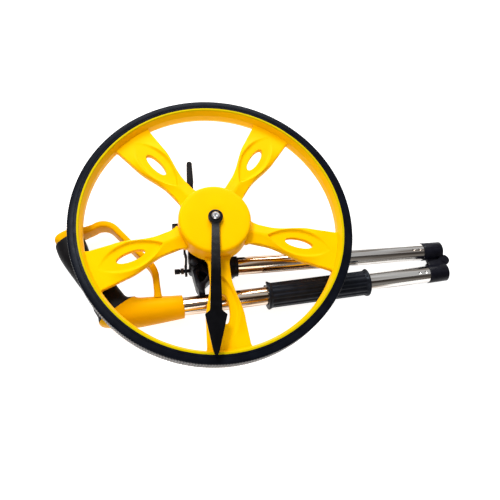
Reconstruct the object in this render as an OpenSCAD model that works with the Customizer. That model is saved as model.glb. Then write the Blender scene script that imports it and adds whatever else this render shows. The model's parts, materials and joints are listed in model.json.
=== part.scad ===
// Folding measuring wheel, lying folded on its back.
// Origin: on the axle line, in the plane of the bracket's flat back. +Z runs up the
// axle to the pointer, +X runs along the wheel tube to the fold hinge. Millimetres.

/* [Wheel] */
// Distance rolled in one turn, which sets the radius over the tyre
wheel_circumference = 1000; // [990:1:1010]
// Width of the rim along the axle
rim_w = 24; // [22:0.5:26]
// Width of the rubber tyre
tyre_w = 21.5; // [18:0.5:21.5]
// Radial thickness of the tyre
tyre_t = 10.25; // [9:0.25:11.5]
// Number of spokes
spoke_count = 5; // [4:1:6]
// Direction of the first spoke
spoke_angle = 54.5; // [0:0.5:72]
// Radius of the hub drum
hub_r = 40.5; // [39:0.5:43]
// Direction the pointer is set to
pointer_angle = -95.8; // [-180:0.1:180]

/* [Tubes] */
// Outside radius of both chromed tubes
tube_r = 10.5; // [10:0.1:11]
// Wall thickness of the tubes
tube_wall = 1.2; // [0.8:0.1:1.5]
// Sideways distance from the axle to the wheel tube's centre line
tube_offset = 39.5; // [38:0.5:42]
// Height of both tubes' centre lines over the flat back
tube_z = 16.5; // [16.5:0.5:18]

/* [Fold] */
// Distance from the axle to the hinge pin along the wheel tube
pin_x = 283.5; // [280:0.5:300]
// Distance from each tube's centre line to the hinge pin
pin_e = 14.1; // [13.8:0.1:15]
// Angle left between the two tubes when folded
rest_angle = 2.6; // [2:0.1:4]
// Radius of the hinge ears round the pin
ear_r = 6.5; // [6:0.1:7]

/* [Lock sleeve] */
// Length of the lock sleeve
sleeve_l = 123.8; // [100:0.1:125]
// Distance from the hinge pin to the sleeve's middle when parked
sleeve_u = 166.5; // [150:0.5:180]
// Radius of the sleeve's body
sleeve_r = 15; // [14.6:0.1:15.2]
// Radius of the sleeve's two flanges
flange_r = 16.5; // [16:0.1:16.5]

/* [Handle] */
// Distance from the hinge pin to the mouth of the handle socket
socket_u = 325; // [320:1:335]
// Thickness of the handle across the wheel's plane
handle_t = 33; // [30:0.5:33]
// Depth of the finger guard's band
guard_depth = 20; // [16:1:24]
// Thickness of the finger guard's band
guard_t = 7.5; // [6:0.5:9]

/* [Hidden] */
$fn = 96;
eps = 0.01;

// Colours
yellow = "#ffd800";
black = "#1b1c20";
chrome = "#c9cbcd";
steel = "#9aa0a6";

// Wheel
wheel_r = wheel_circumference / (2 * PI);
front_z = tube_z + 46;
rim_back_z = front_z - rim_w;
tyre_back_z = front_z - tyre_w;
seat_r = wheel_r - tyre_t;
rim_lip_r = seat_r - 2.2;
rim_mid_r = seat_r - 5.3;
rim_flange_r = seat_r + 3.1;
spoke_z = front_z - 16;
spoke_t = 7;
spoke_neck = 11.8;
spoke_leaf = 21.2;
leaf_start = 62;
leaf_full = 112;
spoke_flare = 0.08;
hole_mid = 99;
hub_back_z = spoke_z - 4.5;
hub_face_z = front_z + 8;
hub_wall = 3;
boss_r = 10;
boss_back_z = rim_back_z + 5.5;

// Axle line
axle_r = 4;
run_gap = 0.05;
bush_r = 6;
pointer_z = hub_face_z + 2.8;
pointer_t = 3;
pointer_top_z = pointer_z + pointer_t;
axle_head_z = 2.7;

// Bracket
base_z = 2.5;
web_t = 3.5;
beam_z = 24;
bracket_top_z = 33;
socket_x = [-8, 21.5];
socket_wall = 2.7;
tube_start_x = -4;
neck_x = -18.6;
neck_w = 7;
saddle_gap = 0.3;

// Stand
stand_x = -25.5;
stand_y = -38;
stand_l = 129;
stand_angle = 87.2;
leg_z = 34;
leg_t = 3.6;
stand_pin_r = 2.5;

// Reset lever
reset_y = -40.5;
reset_x = -34.1;
lever_t = 2.6;
lever_h = 8;
reset_bolt_r = 2;

// Counter
gear_teeth = 24;
gear_module = 1;
gear_r = gear_teeth * gear_module / 2;
gear_angle = 23.6;
gear_z = rim_back_z + 0.5;
gear_t = 4.5;
drum_x = 2 * gear_r * cos(gear_angle);
drum_y = 2 * gear_r * sin(gear_angle);
drum_r = 9;
drum_w = 4.3;
drum_pitch = 4.5;
drum_z = 8.3;
drum_shaft_r = 1.5;
case_x = [9, 36];
case_y = [-4.4, 23.6];
case_z = [6, 31];
case_wall = 2;
case_post = 2.6;

// Hinge, measured from the pin along and across a tube's own centre line
block_r = 11;
block_l = 25;
block_gap = 0.15;
spigot_l = 20;
ear_in = 2.2;
ear_out = [2.5, 5.5];
pin_r = 2.5;
pin_half = 6;
knuckle_r = ear_r + 0.4;

// Handle, in the handle's frame: u from the pin along the tube, w across it
socket_r = [13.2, 16.5];
socket_l = 52;
heel = [405.3, -1.7];
heel_r = 13.2;
grip_low = [403.1, -11.1];
grip_low_r = 17.6;
grip_top = [440.9, -81.9];
grip_top_r = 15.2;
rubber_t = 3;
cap_far = [451.5, -90.9];
cap_far_r = 6.2;
cap_near = [430.2, -97.4];
cap_near_r = 5.5;
guard_top = [405, -89.8];
guard_top_r = 18;
guard_bend = [381.5, -37.2];
guard_bend_r = 30;
guard_lean = 36.5;
tube_end_u = 381;
seam = [[357, -16.5], [376, -16.6], [389, -12.5], [401, -6.5], [416.4, 5.5]];

function smooth(t) = let (c = max(0, min(1, t))) c * c * (3 - 2 * c);
function arc(c, r, a0, a1, n) = [for (i = [0:n]) let (a = a0 + (a1 - a0) * i / n) c + r * [cos(a), sin(a)]];
function unit(v) = v / norm(v);
function spoke_half(r) = spoke_neck
    + (spoke_leaf - spoke_neck) * smooth((r - leaf_start) / (leaf_full - leaf_start))
    + spoke_flare * max(0, r - leaf_full);
function shifted(path, d) = [
    for (i = [0:len(path) - 1])
        let (t = unit(path[min(i + 1, len(path) - 1)] - path[max(i - 1, 0)]))
        path[i] + d * [-t[1], t[0]]
];
function reversed(path) = [for (i = [len(path) - 1:-1:0]) path[i]];

// A band of even thickness along a flat path
module band_2d(path, t) {
    polygon(concat(shifted(path, t / 2), reversed(shifted(path, -t / 2))));
}

// Round ends of two radii and the straight sides that touch both
module bar_2d(a, ra, b, rb) {
    steps = 18;
    lean = acos((ra - rb) / norm(b - a));
    heading = atan2(b[1] - a[1], b[0] - a[0]);
    polygon(concat(
        arc(b, rb, heading - lean, heading + lean, steps),
        arc(a, ra, heading + lean, heading + 360 - lean, steps)
    ));
}

// A cylinder along +X from x0 to x1
module x_cylinder(x0, x1, r, r2 = -1) {
    translate([x0, 0, 0]) rotate([0, 90, 0]) cylinder(h = x1 - x0, r1 = r, r2 = r2 < 0 ? r : r2);
}

module box(x, y, z) {
    translate([x[0], y[0], z[0]]) cube([x[1] - x[0], y[1] - y[0], z[1] - z[0]]);
}

module on_spokes() {
    for (i = [0:spoke_count - 1]) rotate(spoke_angle + 360 / spoke_count * i) children();
}

module on_wheel_tube() {
    translate([0, -tube_offset, tube_z]) children();
}

// Handle frame: +X away from the pin along the handle tube, +Y away from the wheel tube
module in_handle() {
    translate([pin_x, -tube_offset - pin_e, tube_z])
        rotate([0, 0, 180 + rest_angle])
        translate([0, pin_e, 0])
        children();
}

// Frame of the wheel-side hinge block: +X away from the pin along the wheel tube
module in_wheel_side() {
    translate([pin_x, -tube_offset, tube_z]) rotate([0, 0, 180]) children();
}

// ---------- Wheel ----------

module lens_2d(grow) {
    mid = 99;
    half = 37 + grow;
    side = 16 + grow;
    rise = [for (i = [0:16]) [mid - half + half * i / 8, side * pow(sin(180 * i / 16), 0.85)]];
    polygon(concat(rise, [for (i = [15:-1:1]) [rise[i][0], -rise[i][1]]]));
}

module spoke() {
    inner = hub_r - 2;
    outer = rim_mid_r + 1.5;
    steps = 14;
    edge = [for (i = [0:steps]) let (r = inner + (outer - inner) * i / steps) [r, spoke_half(r)]];
    difference() {
        union() {
            translate([0, 0, spoke_z]) linear_extrude(spoke_t)
                polygon(concat(edge, [for (i = [steps:-1:0]) [edge[i][0], -edge[i][1]]]));
            // Eye-shaped bead round the hole, and the roof that runs from it to the hub
            translate([0, 0, spoke_z + spoke_t - eps]) linear_extrude(1.2) difference() {
                lens_2d(0);
                lens_2d(-2);
            }
            translate([inner, 0, spoke_z + spoke_t - eps]) rotate([90, 0, 90])
                linear_extrude(leaf_start + 1 - inner) polygon([[-5, 0], [5, 0], [0, 3]]);
        }
        translate([0, 0, spoke_z - 1]) linear_extrude(spoke_t + 3)
            polygon([for (i = [0:35]) [hole_mid + 18 * cos(10 * i), 6.25 * sin(10 * i)]]);
    }
}

module wheel() {
    rib_t = 2;
    color(yellow) difference() {
        union() {
            rotate_extrude($fn = 180) polygon([
                [seat_r, front_z], [rim_lip_r, front_z], [rim_mid_r, spoke_z + spoke_t + 1],
                [rim_mid_r, spoke_z - 1], [rim_lip_r, rim_back_z], [rim_flange_r, rim_back_z],
                [rim_flange_r, tyre_back_z], [seat_r, tyre_back_z]
            ]);
            on_spokes() spoke();
            difference() {
                rotate_extrude() polygon([
                    [0, hub_back_z], [hub_r, hub_back_z], [hub_r, hub_face_z - 3],
                    [hub_r - 0.8, hub_face_z - 1.2], [hub_r - 3, hub_face_z], [0, hub_face_z]
                ]);
                translate([0, 0, hub_back_z - 1])
                    cylinder(h = hub_face_z - hub_back_z - 2.5, r = hub_r - hub_wall);
            }
            translate([0, 0, boss_back_z]) cylinder(h = hub_face_z - boss_back_z - 1, r = boss_r);
            on_spokes() box([boss_r - 1, hub_r - 1], [-rib_t / 2, rib_t / 2], [spoke_z + 3, hub_face_z - 3]);
        }
        translate([0, 0, rim_back_z]) cylinder(h = 60, r = bush_r);
        gear_screw_places() cylinder(h = 12, r = 1);
    }
}

module tyre() {
    edge = 1.4;
    color(black) rotate_extrude($fn = 180) polygon([
        [seat_r, front_z], [wheel_r - edge, front_z], [wheel_r - 0.4, front_z - 0.4],
        [wheel_r, front_z - edge], [wheel_r, tyre_back_z + edge],
        [wheel_r - 0.4, tyre_back_z + 0.4], [wheel_r - edge, tyre_back_z], [seat_r, tyre_back_z]
    ]);
}

module bush(z0, z1) {
    difference() {
        translate([0, 0, z0]) cylinder(h = z1 - z0, r = bush_r);
        translate([0, 0, z0 - 1]) cylinder(h = z1 - z0 + 4, r = axle_r + run_gap);
    }
}

module front_bush() {
    color("#b08d57") {
        bush(hub_face_z - 14, hub_face_z);
        difference() {
            translate([0, 0, hub_face_z]) cylinder(h = 1.4, r = 8);
            translate([0, 0, hub_face_z - 1]) cylinder(h = 4, r = axle_r + run_gap);
        }
    }
}

module rear_bush() {
    color("#b08d57") bush(gear_z, gear_z + 13);
}

// Straight-flanked spur gear with a tooth centred on +X
module gear_2d() {
    root = gear_r - 1.1;
    tip = gear_r + 0.8;
    flank = [[root - 0.3, 0.95], [gear_r, 0.65], [tip, 0.35]];
    circle(root);
    for (i = [0:gear_teeth - 1]) rotate(360 / gear_teeth * i)
        polygon(concat(flank, [for (j = [len(flank) - 1:-1:0]) [flank[j][0], -flank[j][1]]]));
}

module gear_screw_places() {
    for (a = [90, 210, 330]) rotate(a) translate([8, 0, gear_z]) children();
}

module drive_gear() {
    color("#e8e6df") difference() {
        translate([0, 0, gear_z]) rotate(gear_angle) linear_extrude(boss_back_z - gear_z) gear_2d();
        translate([0, 0, gear_z - 1]) cylinder(h = 8, r = bush_r);
        gear_screw_places() translate([0, 0, -1]) cylinder(h = 12, r = 1);
    }
}

module gear_screws() {
    color(steel) gear_screw_places() {
        cylinder(h = 10, r = 1);
        translate([0, 0, -1]) cylinder(h = 1, r = 1.8);
    }
}

// ---------- Pointer ----------

module pointer() {
    notch = 106;
    shoulder = 110;
    tip = 153;
    color(black) translate([0, 0, pointer_z]) rotate(pointer_angle) linear_extrude(pointer_t) difference() {
        union() {
            circle(8.4);
            polygon([
                [4, -5.1], [notch, -7.4], [shoulder, -12.5], [tip - 2, -3.6], [tip, -2],
                [tip, 2], [tip - 2, 3.6], [shoulder, 12.5], [notch, 7.4], [4, 5.1]
            ]);
        }
        circle(axle_r + run_gap);
    }
}

module pointer_screw() {
    head = 2.8;
    color("#dfe1e3") difference() {
        union() {
            translate([0, 0, pointer_top_z + 0.1]) cylinder(h = head - 1, r = 4.5);
            translate([0, 0, pointer_top_z + head - 0.9]) cylinder(h = 1, r1 = 4.5, r2 = 3.2);
            translate([0, 0, pointer_top_z - 10]) cylinder(h = 10.2, r = 1.6);
        }
        translate([0, 0, pointer_top_z + 1.2]) cylinder(h = 3, r = 1.7, $fn = 6);
    }
}

module pointer_washer() {
    color(steel) difference() {
        translate([0, 0, hub_face_z + 1.6]) cylinder(h = pointer_z - hub_face_z - 1.8, r = 7);
        translate([0, 0, hub_face_z]) cylinder(h = 4, r = axle_r);
    }
}

// ---------- Bracket and axle ----------

module wedge_2d() {
    polygon([
        [-6, 6], [-14, 6], [-29, -13], [-30, -24], [-24, -62],
        [neck_x - neck_w / 2, -66], [neck_x + neck_w / 2, -66], [-13.5, -60], [-5, -53], [-5, -20]
    ]);
}

module saddle_2d() {
    inner = tube_r + saddle_gap;
    outer = inner + 2.8;
    spread = 52;
    ends = [for (s = [-1, 1]) outer * 2 * [s * sin(spread), cos(spread)]];
    intersection() {
        difference() {
            circle(outer);
            circle(inner);
        }
        polygon([[0, 0], ends[1], [20, 40], [-20, 40], ends[0]]);
    }
}

module bracket() {
    neck_z = [9, 24];
    color(black) difference() {
        union() {
            translate([0, 0, base_z]) linear_extrude(web_t) {
                circle(16);
                translate([case_x[0] - 3, case_y[0] - 2]) square([case_x[1] - case_x[0] + 4, 32]);
                translate([-8, -50]) square([29.5, 50]);
            }
            translate([0, 0, base_z]) cylinder(h = bracket_top_z - base_z, r = 12);
            difference() {
                translate([0, 0, base_z]) linear_extrude(beam_z - base_z) wedge_2d();
                // Pockets that leave a lattice of ribs
                translate([0, 0, base_z + web_t]) linear_extrude(beam_z) {
                    polygon([[-24, -14], [-19, -10], [-12, -14], [-12, -19]]);
                    polygon([[-12, -22], [-8, -22], [-8, -46], [-17, -34]]);
                    polygon([[-19, -42], [-10, -49], [-15, -56], [-20, -58], [-22, -50]]);
                }
            }
            translate([stand_x, stand_y, base_z]) cylinder(h = bracket_top_z - base_z, r = 5.2);
            translate([0, -tube_offset, tube_z]) x_cylinder(socket_x[0], socket_x[1], tube_r + socket_wall);
            box([-8, case_x[0]], [-34, 0], [base_z, beam_z]);
            box([neck_x - neck_w / 2, neck_x + neck_w / 2], [-70, -58], neck_z);
            in_handle() translate([socket_u - 22 - neck_w / 2, 0, 0])
                rotate([90, 0, 90]) linear_extrude(neck_w) rotate(90) saddle_2d();
        }
        // Open gap between the outer strut and the rest of the lattice
        translate([0, 0, -1]) linear_extrude(40)
            polygon([[-27.6, -17], [-23, -19], [-20.5, -26], [-22.5, -31.5], [-26.8, -32]]);
        on_wheel_tube() x_cylinder(tube_start_x, 40, tube_r);
        translate([0, 0, -1]) cylinder(h = 50, r = axle_r);
        translate([0, 0, -1]) cylinder(h = axle_head_z + 6, r = 7.7, $fn = 6);
        translate([stand_x, stand_y, bracket_top_z - 12]) cylinder(h = 20, r = stand_pin_r);
        translate([0, reset_y, tube_z]) x_cylinder(-40, -24, reset_bolt_r);
        cover_screw_places() cylinder(h = 5, r = 1.2);
        translate([10, -tube_offset, tube_z - 20]) cylinder(h = 12, r = 1.5);
    }
}

module cover_screw_places() {
    for (p = [[-11, -11], [-14, -48], [30, 25.5]]) translate([p[0], p[1], 0.8]) children();
}

module bracket_cover() {
    color(black) difference() {
        linear_extrude(base_z) {
            circle(16);
            translate([case_x[0] - 2, case_y[0] - 1]) square([case_x[1] - case_x[0] + 2, 30]);
            polygon([
                [-12, 6], [-20, -12], [-19, -34], [-26, -40], [-21, -54], [-7, -50], [12, -50], [12, 0]
            ]);
        }
        cover_screw_places() {
            translate([0, 0, -1]) cylinder(h = 6, r = 1.2);
            translate([0, 0, -1]) cylinder(h = 1.8, r = 2.4);
        }
        translate([10, -tube_offset, -1]) cylinder(h = 6, r = 3);
    }
}

module cover_screws() {
    color(steel) cover_screw_places() {
        cylinder(h = 4.5, r = 1.2);
        translate([0, 0, -0.6]) cylinder(h = 0.6, r = 2.4);
    }
}

module axle() {
    color(steel) difference() {
        union() {
            translate([0, 0, axle_head_z]) cylinder(h = 5, r = 7.5, $fn = 6);
            translate([0, 0, axle_head_z]) cylinder(h = pointer_top_z - axle_head_z, r = axle_r);
        }
        translate([0, 0, pointer_top_z - 10]) cylinder(h = 12, r = 1.6);
    }
}

module axle_spacer() {
    color(steel) difference() {
        translate([0, 0, bracket_top_z]) cylinder(h = gear_z - bracket_top_z - 0.4, r = 5.8);
        translate([0, 0, bracket_top_z - 1]) cylinder(h = 10, r = axle_r);
    }
}

// ---------- Tubes and fold hinge ----------

// Two punched dimples that stake the tube to the spigot inside it
module stake_marks(x, s) {
    for (d = [6, 14]) translate([x + s * d, 0, tube_r + 0.9]) sphere(r = 2);
}

module wheel_tube() {
    end = pin_x - block_l - block_gap;
    color(chrome) on_wheel_tube() difference() {
        x_cylinder(tube_start_x, end, tube_r);
        x_cylinder(tube_start_x - 1, end + 1, tube_r - tube_wall);
        stake_marks(end, -1);
    }
}

module tube_collar() {
    color(black) on_wheel_tube() difference() {
        x_cylinder(socket_x[1], socket_x[1] + 4.5, 12);
        x_cylinder(socket_x[1] - 1, socket_x[1] + 6, tube_r);
    }
}

module socket_screw() {
    color(steel) translate([10, -tube_offset, 0]) {
        translate([0, 0, 0.7]) cylinder(h = 1.7, r = 2.9);
        translate([0, 0, 2.3]) cylinder(h = tube_z - tube_r - 2.3, r = 1.5);
    }
}

// One hinge block: s is the side of the pin, ears are the height bands of its ears
module hinge_block(s, ears, hole) {
    difference() {
        union() {
            difference() {
                union() {
                    x_cylinder(block_gap + 1, block_gap + block_l, block_r);
                    x_cylinder(block_gap, block_gap + 1, block_r - 1, block_r);
                }
                translate([0, s * pin_e, -pin_half - 0.2]) cylinder(h = 2 * pin_half + 0.4, r = knuckle_r);
            }
            x_cylinder(block_gap + block_l - 1, block_gap + block_l + spigot_l, tube_r - tube_wall - 0.9);
            for (z = ears) translate([0, 0, z[0]]) linear_extrude(z[1] - z[0]) {
                translate([0, s * pin_e]) circle(ear_r);
                translate([0.6, s * (pin_e - 7) - 4]) square([14, 8]);
                polygon([
                    [0.4, s * pin_e], [0.4, s * 6], [21.5, s * 6], [20, s * (pin_e + 0.4)],
                    [8, s * (pin_e + 1.6)], [0, s * (pin_e + ear_r)]
                ]);
            }
        }
        translate([0, s * pin_e, -20]) cylinder(h = 40, r = hole);
        translate([0, 0, tube_r + 0.2]) translate([8, 0, 0]) cylinder(h = 3, r = 1.1);
    }
}

module wheel_hinge_block() {
    color(black) in_wheel_side() hinge_block(1, [[-ear_in, ear_in]], pin_r);
}

module hinge_pin() {
    color(black) translate([pin_x, -tube_offset - pin_e, tube_z]) {
        translate([0, 0, -pin_half]) cylinder(h = 2 * pin_half, r = pin_r);
        for (s = [-1, 1]) translate([0, 0, s * (pin_half - 0.2) - 0.2]) cylinder(h = 0.4, r = pin_r + 0.8);
    }
}

module handle_hinge_block() {
    ears = [[-ear_out[1], -ear_out[0]], [ear_out[0], ear_out[1]]];
    color(black) in_handle() hinge_block(-1, ears, pin_r + run_gap);
}

module handle_tube() {
    start = block_gap + block_l;
    color(chrome) in_handle() difference() {
        x_cylinder(start, tube_end_u, tube_r);
        x_cylinder(start - 1, tube_end_u + 1, tube_r - tube_wall);
        stake_marks(start, 1);
    }
}

module lock_sleeve() {
    half = sleeve_l / 2;
    lip = 4;
    bore_r = block_r + 0.3;
    slot_w = 2 * pin_half + 1;
    color(black) in_handle() translate([sleeve_u, 0, 0]) difference() {
        union() {
            x_cylinder(-half, half, sleeve_r);
            for (s = [0, 1]) mirror([s, 0, 0]) {
                x_cylinder(half - lip, half, flange_r);
                x_cylinder(half - 2 * lip, half - lip, sleeve_r, flange_r);
            }
        }
        x_cylinder(-half - 1, half + 1, bore_r);
        box([-half - 1, half + 1], [-30, 0], [-slot_w / 2, slot_w / 2]);
    }
}

// ---------- Counter ----------

module counter_case() {
    color(black) difference() {
        box(case_x, case_y, case_z);
        difference() {
            box([case_x[0] + case_wall, case_x[1] - case_wall],
                [case_y[0] + case_wall, case_y[1] - case_wall],
                [case_z[0] + case_wall, case_z[1] + 1]);
            counter_screw_places() cylinder(h = 40, r = case_post);
        }
        box([case_x[1] - case_wall - 1, case_x[1] + 1],
            [drum_y - 8, drum_y + 8],
            [case_z[0] + 3, case_z[1] - 2]);
        translate([drum_x, drum_y, 0]) cylinder(h = 20, r = drum_shaft_r);
        counter_screw_places() translate([0, 0, case_z[1] - 7]) cylinder(h = 10, r = 1);
        // Room for the bracket's boss
        cylinder(h = 40, r = 12);
    }
}

module counter_screw_places() {
    for (x = [case_x[1] - 3]) for (y = [case_y[0] + 3, case_y[1] - 3]) translate([x, y, 0]) children();
    translate([case_x[0] + 3, case_y[1] - 3, 0]) children();
}

module counter_cover() {
    color(black) difference() {
        box(case_x, case_y, [case_z[1], bracket_top_z]);
        cylinder(h = 40, r = 12);
        translate([drum_x, drum_y, 0]) cylinder(h = 40, r = 3.4);
        counter_screw_places() cylinder(h = 40, r = 1);
    }
}

module counter_window() {
    color("#bcd3dc", 0.5)
        box([case_x[1], case_x[1] + 1.2], [drum_y - 9.5, drum_y + 9.5], [case_z[0] + 1.5, case_z[1] - 0.5]);
}

module counter_screws() {
    color(steel) counter_screw_places() {
        translate([0, 0, case_z[1] - 7]) cylinder(h = bracket_top_z - case_z[1] + 7, r = 1);
        translate([0, 0, bracket_top_z]) cylinder(h = 1, r = 1.9);
    }
}

module drum_shaft() {
    color(steel) translate([drum_x, drum_y, case_z[0]])
        cylinder(h = gear_z + gear_t - case_z[0], r = drum_shaft_r);
}

module counter_pinion() {
    top_drum_z = drum_z + 5 * drum_pitch - (drum_pitch - drum_w);
    color("#e8e6df") translate([drum_x, drum_y, 0]) difference() {
        union() {
            translate([0, 0, gear_z]) rotate(gear_angle + 180 / gear_teeth) linear_extrude(gear_t) gear_2d();
            translate([0, 0, top_drum_z]) cylinder(h = gear_z - top_drum_z + eps, r = 3);
        }
        translate([0, 0, top_drum_z - 1]) cylinder(h = 30, r = drum_shaft_r + run_gap);
    }
}

// A number drum with its rolling edges; place 0 is at the bottom
module drum(place) {
    color("#f2f1ec") translate([drum_x, drum_y, drum_z + place * drum_pitch]) difference() {
        union() {
            cylinder(h = drum_w, r = drum_r - 0.4);
            translate([0, 0, 0.4]) cylinder(h = drum_w - 0.8, r = drum_r);
        }
        translate([0, 0, -1]) cylinder(h = drum_w + 2, r = drum_shaft_r + run_gap);
    }
}

module decimetre_drum() drum(4);
module metre_drum() drum(3);
module ten_metre_drum() drum(2);
module hundred_metre_drum() drum(1);
module thousand_metre_drum() drum(0);

// ---------- Reset lever ----------

module reset_lever() {
    path = [
        [reset_x, reset_y], [-33.2, -31], [-32.5, -24], [-33.8, -18], [-33, -11], [-35.5, 0], [-39.5, 12]
    ];
    color(black) difference() {
        union() {
            translate([0, 0, tube_z - lever_h / 2]) linear_extrude(lever_h) band_2d(path, lever_t);
            translate([0, reset_y, tube_z]) x_cylinder(reset_x - lever_t / 2, reset_x + lever_t / 2, 6.8);
            box([-45.5, -36], [11, 17.6], [tube_z - 6, tube_z + 6]);
        }
        translate([0, reset_y, tube_z]) x_cylinder(-50, -20, reset_bolt_r + run_gap);
    }
}

module reset_bolt() {
    color(black) translate([0, reset_y, tube_z]) {
        x_cylinder(-47, -41, 3.1);
        x_cylinder(-41.1, -26, reset_bolt_r);
    }
}

// Torsion spring on the reset bolt
module reset_spring() {
    wire_r = 0.45;
    coil_r = 3.2;
    turns = 4;
    per_turn = 16;
    sides = 8;
    x0 = reset_x - lever_t / 2 - 4.9;
    rise = 4.2 - 2 * wire_r;
    count = turns * per_turn;
    points = [
        for (i = [0:count]) let (a = 360 * i / per_turn, x = x0 + wire_r + rise * i / count)
            for (j = [0:sides - 1]) let (b = 360 * j / sides, r = coil_r + wire_r * cos(b))
                [x + wire_r * sin(b), r * cos(a), r * sin(a)]
    ];
    walls = [
        for (i = [0:count - 1]) for (j = [0:sides - 1])
            let (k = (j + 1) % sides)
            [i * sides + j, i * sides + k, (i + 1) * sides + k, (i + 1) * sides + j]
    ];
    caps = [[for (j = [sides - 1:-1:0]) j], [for (j = [0:sides - 1]) count * sides + j]];
    color(steel) translate([0, reset_y, tube_z]) polyhedron(points, concat(walls, caps), convexity = 8);
}

// ---------- Stand ----------

module on_stand() {
    translate([stand_x, stand_y, 0]) rotate(stand_angle) children();
}

module stand_leg() {
    color(black) on_stand() translate([0, 0, leg_z]) linear_extrude(leg_t) difference() {
        bar_2d([0, 0], 5.2, [stand_l - 4, 0], 2.8);
        circle(stand_pin_r + run_gap);
    }
}

module stand_tip() {
    wall = 0.5;
    color(black) on_stand() difference() {
        translate([0, 0, leg_z - wall + 0.1]) linear_extrude(leg_t + 2 * wall - 0.2)
            bar_2d([stand_l - 28, 0], 3.9, [stand_l - 3.2, 0], 3.2);
        translate([0, 0, leg_z]) linear_extrude(leg_t) bar_2d([0, 0], 5.2, [stand_l - 4, 0], 2.8);
    }
}

module stand_pin() {
    color(black) translate([stand_x, stand_y, 0]) {
        translate([0, 0, bracket_top_z - 12])
            cylinder(h = leg_z + leg_t - bracket_top_z + 12.3, r = stand_pin_r);
        translate([0, 0, leg_z + leg_t + 0.2]) cylinder(h = 1.6, r = 4.2);
    }
}

// ---------- Handle ----------

// Everything on the tube's side of the seam between the yellow shoe and the rubber
module shoe_2d() {
    polygon(concat([[337, seam[0][1]]], seam, [[427, 14], [427, 40], [337, 40]]));
}

module grip_2d(inset) {
    bar_2d(grip_low, grip_low_r - inset, grip_top, grip_top_r - inset);
}

// The grip above the seam, with a fillet on the finger side
module rubber_2d() {
    heading = atan2(grip_top[1] - grip_low[1], grip_top[0] - grip_low[0]);
    low_end = 33;
    fillet = [[382, -17.5], [386.5, -19.4], grip_low + grip_low_r * [cos(-142), sin(-142)]];
    difference() {
        polygon(concat(
            arc(grip_top, grip_top_r, heading - 88, heading + 88, 18),
            arc(grip_low, grip_low_r, heading + 88, low_end, 2),
            [[418, 1.5], seam[4], seam[3], seam[2], seam[1]],
            fillet
        ));
        cap_2d();
    }
}

module shoe_body_2d() {
    intersection() {
        union() {
            bar_2d([372, 0], handle_t / 2, heel, heel_r);
            grip_2d(0);
        }
        shoe_2d();
    }
}

module cap_2d() {
    bar_2d(cap_far, cap_far_r, cap_near, cap_near_r);
}

module guard_2d() {
    path = concat(
        [[430, -94]],
        arc(guard_top, guard_top_r, -50, -180 + guard_lean, 10),
        arc(guard_bend, guard_bend_r, -180 + guard_lean, -180, 6),
        [[351.6, -11]]
    );
    band_2d(path, guard_t);
}

module handle_body() {
    half = handle_t / 2;
    core_half = half - rubber_t;
    translate([0, 0, -half]) linear_extrude(handle_t) {
        shoe_body_2d();
        cap_2d();
    }
    translate([0, 0, -core_half]) linear_extrude(2 * core_half) grip_2d(rubber_t);
    translate([0, 0, -guard_depth / 2]) linear_extrude(guard_depth) guard_2d();
    x_cylinder(socket_u, socket_u + socket_l, socket_r[0], socket_r[1]);
}

module handle_screw_places() {
    for (p = [[390, 4], [416, -33], [434, -72]]) translate([p[0], p[1], 0]) children();
}

// Half of the handle: s = 1 is the front half, under the wheel, and s = -1 the back half
module handle_shell(s) {
    half = handle_t / 2;
    difference() {
        intersection() {
            handle_body();
            box([300, 480], [-130, 40], s > 0 ? [0, 20] : [-20, 0]);
        }
        x_cylinder(socket_u - 1, tube_end_u, tube_r);
        difference() {
            translate([0, 0, s > 0 ? -1 : 4 - half]) linear_extrude(half - 3) grip_2d(rubber_t + 3);
            handle_screw_places() translate([0, 0, -20]) cylinder(h = 40, r = 3.2);
            box([357, 401], [-20, 20], [-20, 20]);
        }
        handle_screw_places() translate([0, 0, -half - 1]) {
            cylinder(h = half + 9, r = 1.5);
            cylinder(h = 5, r = 3);
        }
    }
}

module handle_front_shell() {
    color(yellow) in_handle() handle_shell(1);
}

module handle_back_shell() {
    color(yellow) in_handle() handle_shell(-1);
}

module grip_rubber() {
    half = handle_t / 2;
    color(black) in_handle() difference() {
        translate([0, 0, -half]) linear_extrude(handle_t) rubber_2d();
        handle_body();
        handle_screw_places() translate([0, 0, -half - 1]) cylinder(h = half, r = 3);
    }
}

module handle_screws() {
    half = handle_t / 2;
    color(steel) in_handle() handle_screw_places() {
        translate([0, 0, 4 - half - 2]) cylinder(h = 2, r = 3);
        translate([0, 0, 4 - half]) cylinder(h = half + 3, r = 1.5);
    }
}

wheel();
tyre();
front_bush();
rear_bush();
drive_gear();
gear_screws();
pointer();
pointer_screw();
pointer_washer();
bracket();
bracket_cover();
cover_screws();
axle();
axle_spacer();
wheel_tube();
tube_collar();
socket_screw();
wheel_hinge_block();
hinge_pin();
counter_case();
counter_cover();
counter_window();
counter_screws();
drum_shaft();
counter_pinion();
decimetre_drum();
metre_drum();
ten_metre_drum();
hundred_metre_drum();
thousand_metre_drum();
reset_lever();
reset_bolt();
reset_spring();
stand_leg();
stand_tip();
stand_pin();
handle_tube();
handle_hinge_block();
handle_front_shell();
handle_back_shell();
grip_rubber();
handle_screws();
lock_sleeve();
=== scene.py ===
"""Looks of a folded measuring wheel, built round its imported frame.

Lengths are millimetres, and MM turns them into Blender's metres. Only the floor and the
lights are placed in metres.
"""
import json
import math

import bmesh
import bpy
import numpy as np
from mathutils import Matrix, Vector


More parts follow.
